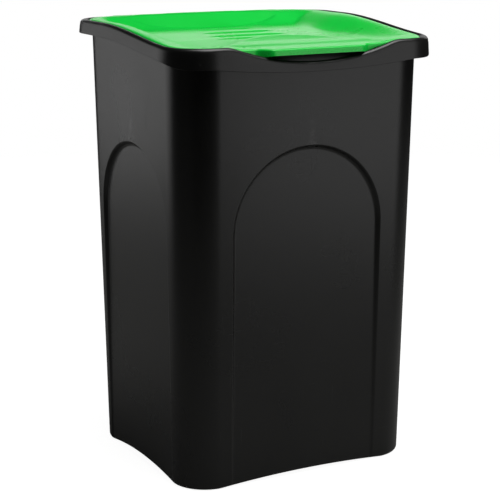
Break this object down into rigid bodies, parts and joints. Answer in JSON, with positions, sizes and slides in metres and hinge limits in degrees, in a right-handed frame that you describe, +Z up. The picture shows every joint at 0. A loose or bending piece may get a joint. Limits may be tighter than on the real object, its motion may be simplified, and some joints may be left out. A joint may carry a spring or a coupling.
{
  "type": "waste bin",
  "caption": "Tall tapered plastic waste bin with sunken arch panels, a lift-off rim frame with a finger scoop, and a dished lid hinged at the back.",
  "frame": {"origin": "on the ground under the middle of the bin", "axes": "front of the bin faces -Y, +X to the right seen from the front, +Z up"},
  "size_m": [0.3696, 0.331, 0.5619],
  "materials": {
    "black_plastic": "satin moulded polypropylene, fine grain",
    "green_plastic": "smooth satin-gloss moulded polypropylene"
  },
  "bodies": {
    "bucket": {"bucket": "black_plastic"},
    "rim_frame": {"rim_frame": "black_plastic", "hinge_pin_left": "black_plastic", "hinge_pin_right": "black_plastic"},
    "lid": {"lid": "green_plastic"}
  },
  "joints": [
    {"name": "frame_lift", "type": "slide", "parent": "bucket", "child": "rim_frame", "axis": [0, 0, 1], "range_m": [0, 0.08]},
    {"name": "lid_hinge", "type": "hinge", "parent": "rim_frame", "child": "lid", "pos_m": [0, 0.1586, 0.5554], "axis": [-1, 0, 0], "range_deg": [0, 100]}
  ]
}
